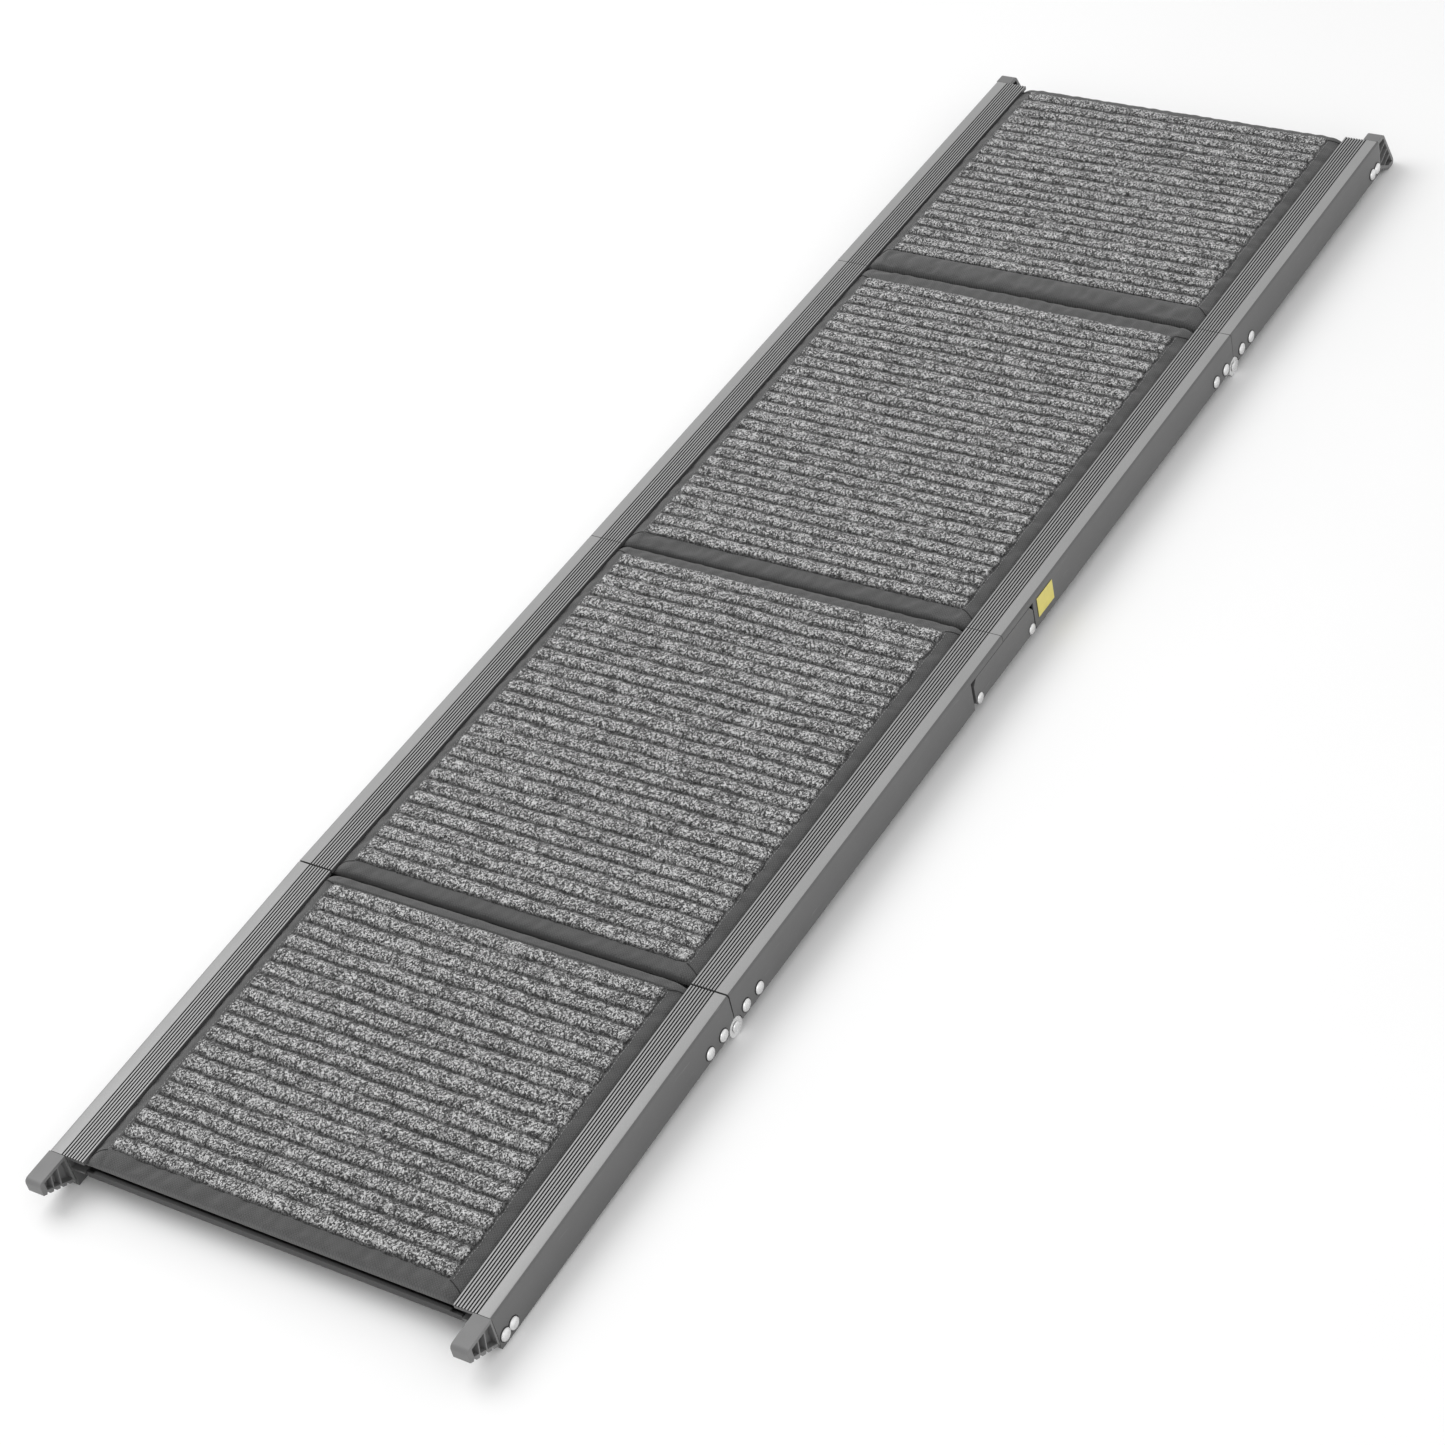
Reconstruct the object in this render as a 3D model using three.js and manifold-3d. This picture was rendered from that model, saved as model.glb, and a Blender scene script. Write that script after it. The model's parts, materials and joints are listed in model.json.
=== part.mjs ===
// Folding dog ramp: four carpeted aluminium sections in one line. The end sections fold flat under the
// middle ones on barrel hinges, and the middle pair folds shut on two double-pivot links.
// Millimetres, +Z up. The origin is on the floor under the middle of the ramp, +X runs along the ramp
// towards section 4 and +Y is its left side.
import * as THREE from "three";
import { mergeVertices } from "three/addons/utils/BufferGeometryUtils.js";
import Module from "manifold-3d";

const wasm = await Module();
wasm.setup();

// Driving dimensions
const WIDTH = 420; // over the outer faces of the rails
const MIDDLE_LENGTH = 448; // joint plane to joint plane, sections 2 and 3
const END_LENGTH = 332; // joint plane to rail end, sections 1 and 4
const RAIL_WIDTH = 34;
const RAIL_HEIGHT = 35;
const GAP = 0.3; // kept between neighbouring pieces
const KNUCKLE_RADIUS = 9; // the outer hinges' barrels, which stand on the floor
const AXIS_DROP = 0.25; // the outer hinge axis lies this far below the rails
const PIVOT_REACH = 47; // the middle pivots, from the middle of the ramp
const PIVOT_HEIGHT = 5; // the same pivots, above the underside of the rails
const FOOT_REACH = 32; // the feet, beyond the rail ends
const CARPET_RISE = 4.5; // the carpet's face above the top of the rails
// Bare fabric between each mat's ends and its carpet, at the ramp's middle side and at its outer side
const HEMS = { 1: [12, 18], 2: [14, 16], 3: [18, 20], 4: [28, 12] };

// Sides of the round shapes
const ROUND = 24;
const BARREL_ROUND = 32;
const SHANK_ROUND = 12;
const DOME_STEPS = 4;

// Sizes that follow. Each section is drawn with z = 0 at the height of the outer hinge axis.
const HALF = WIDTH / 2;
const BOTTOM = AXIS_DROP;
const TOP = BOTTOM + RAIL_HEIGHT;
const LEDGE_TOP = TOP - 14;
const LIP_UNDER = TOP - 4;
const BOX_WIDTH = 16.5; // the rail's closed outer half, over its walls
const WALL = 1.8;
const PIVOT_Z = BOTTOM + PIVOT_HEIGHT;
// Section 1 droops until the ends of its rails reach the floor. Section 4 stands level on its hook feet.
const DROOP = Math.asin((KNUCKLE_RADIUS + AXIS_DROP - 0.02) / (END_LENGTH - GAP));

// Materials
const material = (color, roughness, metalness) =>
  new THREE.MeshStandardMaterial({ color, roughness, metalness });
const RAIL_GREY = material(0x7c7f81, 0.45, 0.75);
const BAR_GREY = material(0x55585a, 0.5, 0.7);
const STEEL = material(0xc9cbcc, 0.3, 0.95);
const LINK_GREY = material(0x47494b, 0.5, 0.6);
const FOOT_GREY = material(0x6d6f71, 0.7, 0);
const FABRIC = material(0x2f3032, 0.85, 0);
const CARPET = material(0x67686a, 0.95, 0);
const BOARD = material(0x2a2a2b, 0.8, 0);
const LABEL = material(0xe3d77a, 0.6, 0);

// three.js geometry to a manifold solid and back
function solidOf(geometry) {
  const bare = new THREE.BufferGeometry();
  const flat = geometry.index ? geometry.toNonIndexed() : geometry;
  bare.setAttribute("position", flat.getAttribute("position"));
  const merged = mergeVertices(bare, 1e-4);
  return new wasm.Manifold(
    new wasm.Mesh({
      numProp: 3,
      vertProperties: new Float32Array(merged.attributes.position.array),
      triVerts: new Uint32Array(merged.index.array),
    }),
  );
}

function geometryOf(solid) {
  const mesh = solid.getMesh();
  const points = new Float32Array(mesh.numVert * 3);
  for (let i = 0; i < mesh.numVert; i++) {
    points.set(mesh.vertProperties.subarray(i * mesh.numProp, i * mesh.numProp + 3), i * 3);
  }
  return new THREE.BufferGeometry()
    .setAttribute("position", new THREE.BufferAttribute(points, 3))
    .setIndex(new THREE.BufferAttribute(new Uint32Array(mesh.triVerts), 1));
}

const union = (solids) => solids.reduce((a, b) => a.add(b));
const cut = (solid, tools) => tools.reduce((a, b) => a.subtract(b), solid);

// Basic shapes
function box(x0, x1, y0, y1, z0, z1) {
  const shape = new THREE.BoxGeometry(x1 - x0, y1 - y0, z1 - z0);
  return solidOf(shape.translate((x0 + x1) / 2, (y0 + y1) / 2, (z0 + z1) / 2));
}

// A round bar along Y
function rod(radius, x, z, y0, y1, sides = ROUND) {
  const shape = new THREE.CylinderGeometry(radius, radius, y1 - y0, sides);
  return solidOf(shape.translate(x, (y0 + y1) / 2, z));
}

const outline = (points) => new THREE.Shape(points.map(([a, b]) => new THREE.Vector2(a, b)));

// An outline in (y, z), drawn out along X from x0 to x1
function alongX(shape, x0, x1) {
  const drawn = new THREE.ExtrudeGeometry(shape, { depth: x1 - x0, bevelEnabled: false, curveSegments: 5 });
  const turn = new THREE.Matrix4().set(0, 0, 1, x0, 1, 0, 0, 0, 0, 1, 0, 0, 0, 0, 0, 1);
  return solidOf(drawn.applyMatrix4(turn));
}

// An outline in (x, z), drawn out along Y from y0 to y1
function alongY(shape, y0, y1) {
  const drawn = new THREE.ExtrudeGeometry(shape, { depth: y1 - y0, bevelEnabled: false, curveSegments: 6 });
  return solidOf(drawn.rotateX(Math.PI / 2).translate(0, y1, 0));
}

// A low domed head whose flat side faces the rail and whose crown points to +Y
function domedHead(radius, height, x, z, y) {
  const profile = [new THREE.Vector2(0, 0)];
  for (let i = 0; i <= DOME_STEPS; i++) {
    const turn = (i / DOME_STEPS) * (Math.PI / 2);
    profile.push(new THREE.Vector2(radius * Math.cos(turn), 0.4 + (height - 0.4) * Math.sin(turn)));
  }
  profile.splice(1, 0, new THREE.Vector2(radius, 0));
  profile[profile.length - 1].x = 0;
  return solidOf(new THREE.LatheGeometry(profile, ROUND).translate(x, y, z));
}

// Distance v in from the rail's outer face, as a y on the left side
const inward = (v) => HALF - v;

// The rail's section: a closed box outside, a ribbed lip over the mat's edge and a ledge for the board
const CORNER = 2.5;
const FLAT_STRIP = 12.2; // smooth strip of the top, before the ribs
const RIBS = 8;
const GROOVE_DEPTH = 0.9;
const GROOVE_WIDTH = 1.25;
const LEDGE_REACH = 30;

function railSection() {
  const points = [[inward(0), BOTTOM], [inward(0), TOP - CORNER]];
  for (let i = 1; i < 4; i++) {
    const turn = (i / 4) * (Math.PI / 2);
    points.push([inward(CORNER * (1 - Math.cos(turn))), TOP - CORNER * (1 - Math.sin(turn))]);
  }
  points.push([inward(CORNER), TOP]);
  const pitch = (RAIL_WIDTH - FLAT_STRIP) / RIBS;
  for (let i = 0; i < RIBS; i++) {
    const start = FLAT_STRIP + i * pitch;
    const end = start + GROOVE_WIDTH;
    points.push([inward(start), TOP], [inward(start + 0.15), TOP - GROOVE_DEPTH]);
    points.push([inward(end - 0.15), TOP - GROOVE_DEPTH], [inward(end), TOP]);
  }
  points.push([inward(RAIL_WIDTH), TOP], [inward(RAIL_WIDTH), LIP_UNDER], [inward(BOX_WIDTH), LIP_UNDER]);
  points.push([inward(BOX_WIDTH), LEDGE_TOP], [inward(LEDGE_REACH), LEDGE_TOP]);
  points.push([inward(LEDGE_REACH), LEDGE_TOP - 2], [inward(BOX_WIDTH), LEDGE_TOP - 2]);
  points.push([inward(BOX_WIDTH), BOTTOM]);
  const shape = outline(points);
  const hollow = [
    [inward(WALL), BOTTOM + WALL],
    [inward(BOX_WIDTH - WALL), BOTTOM + WALL],
    [inward(BOX_WIDTH - WALL), LIP_UNDER],
    [inward(WALL), LIP_UNDER],
  ];
  shape.holes.push(new THREE.Path(hollow.map(([y, z]) => new THREE.Vector2(y, z))));
  return shape;
}

// Places of the fasteners
const RIVETS = [17, 37]; // from the outer hinge's axis
const RIVET_Z = TOP - 27;
const SCREWS = [7, 18]; // from the rail's end
const SCREW_Z = TOP - 26;
const SHANK = 2.4;
const HEAD = 5.5;
const HEAD_HEIGHT = 1.9;

// The outer hinge lies at x = joint. side is +1 when the section lies towards +X of it and -1 when not.
const knuckleRelief = (joint) => rod(KNUCKLE_RADIUS + 0.6, joint, 0, inward(9.2), inward(-1), BARREL_ROUND);
const rivetHole = (x) => rod(SHANK + GAP, x, RIVET_Z, inward(WALL + 1), inward(-1), SHANK_ROUND);

const railEnd = alongX(railSection(), GAP, END_LENGTH);
const endRail = cut(railEnd, [
  knuckleRelief(0),
  ...RIVETS.map(rivetHole),
  ...SCREWS.map((x) => rod(SHANK + GAP, END_LENGTH - x, SCREW_Z, inward(WALL + 1), inward(-1), SHANK_ROUND)),
]);

// The middle rail gives way for the link, whose swing sets the size of the opening in its outer wall.
const LINK_TOP = TOP - 7.6;
const LINK_END = PIVOT_REACH + 6;
const LINK_THICK = 3.5;
const PIN = 3;
const CHAMFER = 2;
const LINK_SLIT = 1.2;
const LINK_END_GAPS = { 2: 4.5, 3: 0.8 };
const linkOpening = (endGap) =>
  box(-1, LINK_END + endGap, inward(LINK_THICK + 0.8), inward(-1), -1, LINK_TOP + LINK_SLIT);
const LOW = BOTTOM + CHAMFER;
const lowCorner = alongY(
  outline([[-1, BOTTOM - 1], [CHAMFER + GAP + 1, BOTTOM - 1], [GAP, LOW], [-1, LOW]]),
  inward(RAIL_WIDTH + 1),
  inward(-1),
);
const middleRail = (number) =>
  cut(alongX(railSection(), GAP, MIDDLE_LENGTH - GAP), [
    knuckleRelief(MIDDLE_LENGTH),
    ...RIVETS.map((x) => rivetHole(MIDDLE_LENGTH - x)),
    linkOpening(LINK_END_GAPS[number]),
    lowCorner,
    rod(PIN + 0.05, PIVOT_REACH, PIVOT_Z, inward(BOX_WIDTH + 1), inward(BOX_WIDTH - WALL - 1)),
  ]);

// The outer hinge's two leaves, both drawn for a section on the +X side of the axis. The fixed leaf's
// barrel lies outside and the moving leaf's lies inside it.
const LEAF_LENGTH = 46;
const LEAF_TOP = BOTTOM + 19;
const LEAF_OUT = WALL + GAP;
const LEAF_THICK = 2;
const BARREL_OUT = 0.6;
const BARREL_SPLIT = 4.4;
const BARREL_IN = 8.4;

function leafOutline(start) {
  const shape = new THREE.Shape();
  shape.moveTo(start, BOTTOM + 3);
  shape.lineTo(LEAF_LENGTH - 3, BOTTOM + 3);
  shape.quadraticCurveTo(LEAF_LENGTH, BOTTOM + 3, LEAF_LENGTH, BOTTOM + 6);
  shape.lineTo(LEAF_LENGTH, LEAF_TOP - 3);
  shape.quadraticCurveTo(LEAF_LENGTH, LEAF_TOP, LEAF_LENGTH - 3, LEAF_TOP);
  shape.lineTo(start + 8, LEAF_TOP);
  shape.lineTo(start, LEAF_TOP - 9);
  return shape;
}

// A rivet's head outside the wall and its shank through it, both joined to the leaf
const rivet = (x) =>
  union([
    domedHead(HEAD, HEAD_HEIGHT, x, RIVET_Z, inward(-GAP)),
    rod(SHANK, x, RIVET_Z, inward(LEAF_OUT + 1), inward(-GAP - 0.2), SHANK_ROUND),
  ]);
const pinHole = rod(PIN + 0.05, 0, 0, inward(BARREL_IN + 1), inward(-1));

const fixedLeaf = cut(
  union([
    rod(KNUCKLE_RADIUS, 0, 0, inward(BARREL_SPLIT - GAP), inward(BARREL_OUT), BARREL_ROUND),
    alongY(leafOutline(2), inward(LEAF_OUT + LEAF_THICK), inward(LEAF_OUT)),
    ...RIVETS.map(rivet),
  ]),
  [pinHole],
);
const movingLeaf = cut(
  union([
    rod(KNUCKLE_RADIUS, 0, 0, inward(BARREL_IN), inward(BARREL_SPLIT), BARREL_ROUND),
    alongY(leafOutline(2), inward(BARREL_IN), inward(BARREL_SPLIT)).intersect(
      box(0, 25, inward(BARREL_IN), inward(BARREL_SPLIT), -1, LEAF_TOP),
    ),
    alongY(leafOutline(10.5), inward(BARREL_SPLIT + 0.2), inward(LEAF_OUT)),
    ...RIVETS.map(rivet),
  ]),
  [pinHole],
);
const hingePin = union([
  rod(PIN, 0, 0, inward(BARREL_IN + 0.8), inward(0)),
  domedHead(HEAD - 0.5, 1.5, 0, 0, inward(BARREL_OUT - GAP)),
]);

// The link between the middle sections: a plate in the rails' outer walls, with two pivot pins
function linkOutline() {
  const half = [
    [PIVOT_REACH + 2, BOTTOM],
    [PIVOT_REACH + 4.6, BOTTOM + 1.3],
    [LINK_END, BOTTOM + 4],
    [LINK_END, LINK_TOP - 6],
    [LINK_END - 5, LINK_TOP],
  ];
  return outline([...half, ...half.map(([x, z]) => [-x, z]).reverse()]);
}
const link = cut(alongY(linkOutline(), inward(LINK_THICK + 0.4), inward(0.4)), [
  rod(PIN + 0.05, PIVOT_REACH, PIVOT_Z, inward(6), inward(-1)),
  rod(PIN + 0.05, -PIVOT_REACH, PIVOT_Z, inward(6), inward(-1)),
]);
const pivotPin = union([
  rod(PIN, 0, 0, inward(BOX_WIDTH + 1.5), inward(-0.5)),
  domedHead(HEAD - 0.5, 1.6, 0, 0, inward(0.1)),
]);

// The foot at each rail end: a plug in the rail's box and a wedge with open pockets and grip teeth.
// Section 1 has landing feet, whose teeth slope. Section 4 has hook feet, which reach below the rails.
const FOOT_START = END_LENGTH + GAP;
const FOOT_TEETH = 5;
const TOOTH_BITE = 2.2;
const FOOT_IN = 15.6;
const LANDING_FRONT = 12.5; // height of the landing foot at its tip
const TEETH_END = 30; // the landing foot's teeth end this far below the top
const HOOK_DEPTH = KNUCKLE_RADIUS + TOP - 0.02; // down to the floor, below the top

// Grip teeth along the slope from (x0, z0) to (x1, z1), cut to the left of it
function addTeeth(shape, x0, z0, x1, z1) {
  const run = x1 - x0;
  const rise = z1 - z0;
  const bite = TOOTH_BITE / Math.hypot(run, rise);
  for (let i = 0; i < FOOT_TEETH; i++) {
    const near = (i + 0.55) / FOOT_TEETH;
    const far = (i + 1) / FOOT_TEETH;
    shape.lineTo(x0 + run * near, z0 + rise * near);
    shape.lineTo(x0 + run * near + bite * rise, z0 + rise * near - bite * run);
    if (i < FOOT_TEETH - 1) {
      shape.lineTo(x0 + run * far, z0 + rise * far);
    }
  }
}

function landingOutline() {
  const tip = END_LENGTH + FOOT_REACH;
  const shape = new THREE.Shape();
  shape.moveTo(FOOT_START, TOP - TEETH_END);
  shape.lineTo(FOOT_START, TOP);
  shape.lineTo(tip - 5, TOP);
  shape.quadraticCurveTo(tip, TOP, tip, TOP - 5);
  shape.lineTo(tip, TOP - LANDING_FRONT);
  addTeeth(shape, tip, TOP - LANDING_FRONT, FOOT_START, TOP - TEETH_END);
  return shape;
}

function hookOutline() {
  const tip = END_LENGTH + FOOT_REACH;
  const low = TOP - HOOK_DEPTH;
  const shape = new THREE.Shape();
  shape.moveTo(FOOT_START, low + 12);
  shape.lineTo(FOOT_START, TOP);
  shape.lineTo(tip - 22, TOP);
  shape.quadraticCurveTo(tip - 18, TOP, tip - 16.5, TOP - 4);
  shape.lineTo(tip - 1, low + 7);
  shape.quadraticCurveTo(tip + 1, low, tip - 5, low);
  shape.lineTo(tip - 11, low);
  addTeeth(shape, tip - 11, low, FOOT_START, low + 12);
  return shape;
}

// The pockets in both sides of a wedge: an outlined region, parted by ribs that lean. Each rib starts at
// [x, z] and runs along (leanX, leanZ).
const POCKET_DEPTH = 6;
const POCKET_RIB = 1.3;

function pockets(region, ribs, leanX, leanZ) {
  const long = 60;
  const bars = ribs.map(([x, z]) =>
    alongY(
      outline([
        [x - leanX * long - (leanZ * POCKET_RIB) / 2, z - leanZ * long + (leanX * POCKET_RIB) / 2],
        [x + leanX * long - (leanZ * POCKET_RIB) / 2, z + leanZ * long + (leanX * POCKET_RIB) / 2],
        [x + leanX * long + (leanZ * POCKET_RIB) / 2, z + leanZ * long - (leanX * POCKET_RIB) / 2],
        [x - leanX * long + (leanZ * POCKET_RIB) / 2, z - leanZ * long - (leanX * POCKET_RIB) / 2],
      ]),
      inward(FOOT_IN + 2),
      inward(-2),
    ),
  );
  const sides = [
    alongY(outline(region), inward(POCKET_DEPTH), inward(-1)),
    alongY(outline(region), inward(FOOT_IN + 1), inward(FOOT_IN - POCKET_DEPTH)),
  ];
  return cut(union(sides), bars);
}

const landingPockets = pockets(
  [
    [FOOT_START + 2, TOP - 25.5],
    [FOOT_START + 26.5, TOP - 11],
    [FOOT_START + 26.5, TOP - 3],
    [FOOT_START + 2, TOP - 3],
  ],
  [[FOOT_START + 10.2, TOP - 3], [FOOT_START + 18.4, TOP - 3]],
  Math.sin(0.18),
  -Math.cos(0.18),
);
const hookPockets = pockets(
  [
    [FOOT_START + 2, TOP - 28.5],
    [FOOT_START + 19.5, TOP - 39.5],
    [FOOT_START + 28, TOP - 40],
    [FOOT_START + 12.2, TOP - 4],
    [FOOT_START + 2, TOP - 4],
  ],
  [[FOOT_START + 17, TOP - 9], [FOOT_START + 21.5, TOP - 19], [FOOT_START + 25.3, TOP - 28]],
  -Math.cos(0.4),
  -Math.sin(0.4),
);
const plug = box(
  END_LENGTH - 30,
  END_LENGTH + GAP + 0.5,
  inward(BOX_WIDTH - WALL - GAP),
  inward(WALL + GAP),
  BOTTOM + WALL + GAP,
  LIP_UNDER - GAP,
);
const foot = (wedge, wedgePockets) =>
  cut(union([alongY(wedge, inward(FOOT_IN), inward(0.2)), plug]), [
    wedgePockets,
    ...SCREWS.map((x) => rod(SHANK + GAP, END_LENGTH - x, SCREW_Z, inward(9), inward(0), SHANK_ROUND)),
  ]);
const landingFoot = foot(landingOutline(), landingPockets);
const hookFoot = foot(hookOutline(), hookPockets);
const screw = union([
  domedHead(HEAD, 2.4, 0, 0, inward(-GAP)),
  rod(SHANK, 0, 0, inward(8), inward(-GAP - 0.2), SHANK_ROUND),
]);

// The deck of one section: board, mat and carpet, and the two bars that tie its rails together
const BAR_HALF = HALF - BOX_WIDTH - GAP;
const BOARD_TOP = LEDGE_TOP + GAP + 6;
const MAT_TOP = TOP + CARPET_RISE - 2.8;
const MAT_HALF = HALF - RAIL_WIDTH - 0.8;
const HEM = 13;

const board = (x0, x1) => box(x0, x1, -BAR_HALF, BAR_HALF, LEDGE_TOP + GAP, BOARD_TOP);

// The padded mat: thin edges under the lips, rolled up to a flat top
function mat(x0, x1) {
  const edge = HALF - BOX_WIDTH - 1.5;
  const half = [
    [edge, BOARD_TOP + GAP],
    [edge, LIP_UNDER - GAP],
    [MAT_HALF, LIP_UNDER - GAP],
    [MAT_HALF - 1.5, TOP - 1],
    [MAT_HALF - HEM + 2, MAT_TOP],
  ];
  return alongX(outline([...half, ...half.map(([y, z]) => [-y, z]).reverse()]), x0, x1);
}
const carpet = (x0, x1) =>
  box(x0, x1, -(MAT_HALF - HEM), MAT_HALF - HEM, MAT_TOP + GAP, TOP + CARPET_RISE);

// A channel bar across the section, open below
function innerBar(x0) {
  const depth = 20;
  return cut(box(x0, x0 + depth, -BAR_HALF, BAR_HALF, BOTTOM + 5, LEDGE_TOP - 2 - GAP), [
    box(x0 + 2, x0 + depth - 2, -BAR_HALF - 1, BAR_HALF + 1, BOTTOM + 4, LEDGE_TOP - 4 - GAP),
  ]);
}

// The bar at a free end, in front of the board. Its upper edge steps down beside the rails.
function outerBar() {
  const face = END_LENGTH - 1.5;
  const low = LEDGE_TOP - 6;
  const high = LEDGE_TOP + 3.3;
  const reach = HALF - LEDGE_REACH - 1;
  const web = box(face - 2, face, -reach, reach, low, high - 3);
  const upper = box(face - 2, face, -reach + 9, reach - 9, low, high);
  const flange = box(face - 16, face - 1, -BAR_HALF, BAR_HALF, low, low + 2);
  const lip = box(face - 1, face + 1.2, -reach + 9, reach - 9, high - 1.6, high);
  return union([web, upper, flange, lip]);
}

const middleDeck = {
  length: MIDDLE_LENGTH,
  board: board(3, MIDDLE_LENGTH - 3),
  mat: mat(2, MIDDLE_LENGTH - 2.5),
  innerBar: innerBar(14),
  outerBar: innerBar(MIDDLE_LENGTH - 34),
};
const endDeck = {
  length: END_LENGTH,
  board: board(3, END_LENGTH - 16),
  mat: mat(2, END_LENGTH - 3),
  innerBar: innerBar(14),
  outerBar: outerBar(),
};

// Assembly. Pieces are drawn on the +X and +Y side and mirrored to the other sides.
const ramp = new THREE.Group();
const SIDES = [["left", 1], ["right", -1]];

function add(group, name, solid, look, alongSign = 1, acrossSign = 1) {
  const mesh = new THREE.Mesh(geometryOf(solid.scale([alongSign, acrossSign, 1])), look);
  mesh.name = name;
  group.add(mesh);
}

function addDeck(group, number, deck, along) {
  add(group, `deck_board_${number}`, deck.board, BOARD, along);
  add(group, `mat_pad_${number}`, deck.mat, FABRIC, along);
  add(group, `carpet_${number}`, carpet(HEMS[number][0], deck.length - HEMS[number][1]), CARPET, along);
  add(group, `cross_bar_${number}_inner`, deck.innerBar, BAR_GREY, along);
  add(group, `cross_bar_${number}_outer`, deck.outerBar, BAR_GREY, along);
}

// A middle section: its rails, deck, and the leaves and pins of the hinge at its outer end
function addMiddleSection(number, along) {
  const section = new THREE.Group();
  section.position.z = KNUCKLE_RADIUS;
  addDeck(section, number, middleDeck, along);
  for (const [side, across] of SIDES) {
    add(section, `rail_${number}_${side}`, middleRail(number), RAIL_GREY, along, across);
    const hinge = new THREE.Group();
    hinge.position.x = along * MIDDLE_LENGTH;
    add(hinge, `fixed_leaf_${number}_${side}`, fixedLeaf, STEEL, -along, across);
    add(hinge, `hinge_pin_${number}_${side}`, hingePin, STEEL, along, across);
    section.add(hinge);
  }
  ramp.add(section);
}

// An end section, turned down about its hinge axis by droop
function addEndSection(number, along, footSolid, droop) {
  const section = new THREE.Group();
  section.position.set(along * MIDDLE_LENGTH, 0, KNUCKLE_RADIUS);
  section.rotation.y = along * droop;
  addDeck(section, number, endDeck, along);
  for (const [side, across] of SIDES) {
    add(section, `rail_${number}_${side}`, endRail, RAIL_GREY, along, across);
    add(section, `moving_leaf_${number}_${side}`, movingLeaf, STEEL, along, across);
    add(section, `foot_${number}_${side}`, footSolid, FOOT_GREY, along, across);
    SCREWS.forEach((inset, i) => {
      const place = new THREE.Group();
      place.position.set(along * (END_LENGTH - inset), 0, SCREW_Z);
      add(place, `foot_screw_${number}_${side}_${i + 1}`, screw, STEEL, along, across);
      section.add(place);
    });
  }
  ramp.add(section);
}

// The links and their pins, which carry the two middle sections
function addLinks() {
  const links = new THREE.Group();
  links.position.z = KNUCKLE_RADIUS;
  for (const [side, across] of SIDES) {
    add(links, `link_${side}`, link, LINK_GREY, 1, across);
    for (const [number, along] of [[2, -1], [3, 1]]) {
      const place = new THREE.Group();
      place.position.set(along * PIVOT_REACH, 0, PIVOT_Z);
      add(place, `pivot_pin_${number}_${side}`, pivotPin, STEEL, 1, across);
      links.add(place);
    }
  }
  ramp.add(links);
}

// A plain label on the outside of section 3's right rail
function addLabel() {
  const place = new THREE.Group();
  place.position.z = KNUCKLE_RADIUS;
  const label = box(60, 88, inward(-GAP), inward(-GAP - 0.3), TOP - 27, TOP - 7);
  add(place, "side_label", label, LABEL, 1, -1);
  ramp.add(place);
}

addEndSection(1, -1, landingFoot, DROOP);
addMiddleSection(2, -1);
addMiddleSection(3, 1);
addEndSection(4, 1, hookFoot, 0);
addLinks();
addLabel();

export default ramp;
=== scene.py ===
"""The looks of a folding dog ramp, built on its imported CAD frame."""

import json
import math

import bmesh
import bpy
from mathutils import Matrix, Vector, noise
from mathutils.bvhtree import BVHTree

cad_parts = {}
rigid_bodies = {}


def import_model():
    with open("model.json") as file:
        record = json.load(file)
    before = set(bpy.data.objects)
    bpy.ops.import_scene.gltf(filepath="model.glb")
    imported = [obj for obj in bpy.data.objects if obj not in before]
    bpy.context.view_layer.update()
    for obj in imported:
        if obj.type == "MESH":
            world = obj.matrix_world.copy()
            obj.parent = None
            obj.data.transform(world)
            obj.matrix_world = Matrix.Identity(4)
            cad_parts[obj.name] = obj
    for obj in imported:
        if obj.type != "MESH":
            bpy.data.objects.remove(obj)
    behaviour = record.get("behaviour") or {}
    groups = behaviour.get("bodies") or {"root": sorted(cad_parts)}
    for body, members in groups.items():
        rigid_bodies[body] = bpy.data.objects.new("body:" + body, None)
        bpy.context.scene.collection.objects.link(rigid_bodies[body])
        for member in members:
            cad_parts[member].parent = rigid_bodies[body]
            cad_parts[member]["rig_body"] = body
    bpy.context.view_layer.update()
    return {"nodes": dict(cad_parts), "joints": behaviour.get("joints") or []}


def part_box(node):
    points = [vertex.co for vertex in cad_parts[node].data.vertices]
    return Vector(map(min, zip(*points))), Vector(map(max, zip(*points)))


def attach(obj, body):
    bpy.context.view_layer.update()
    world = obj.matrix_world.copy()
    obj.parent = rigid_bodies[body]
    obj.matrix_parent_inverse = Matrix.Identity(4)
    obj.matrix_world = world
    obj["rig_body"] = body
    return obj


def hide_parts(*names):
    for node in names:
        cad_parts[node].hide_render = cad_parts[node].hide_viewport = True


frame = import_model()

bl_info = {
    "name": "Folding Dog Ramp",
    "version": (1, 0, 0),
    "blender": (4, 5, 0),
    "location": "3D View > Sidebar > Dog Ramp",
    "description": "Covers, carpets, metalwork and finishes of a folding dog ramp",
    "category": "Object",
}

MM = 0.001
SECTIONS = (1, 2, 3, 4)
SIDES = ("left", "right")
LIP_DEPTH = 4.3 * MM
END_RADIUS = 4.5 * MM
RAISED_HEM = 1.5 * MM
WELL_ABOVE = 80 * MM
CAD_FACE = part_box("rail_2_left")[1].y


# ---------------------------------------------------------------- places


def joint(name):
    return next(j for j in frame["joints"] if j["name"] == name)


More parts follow.
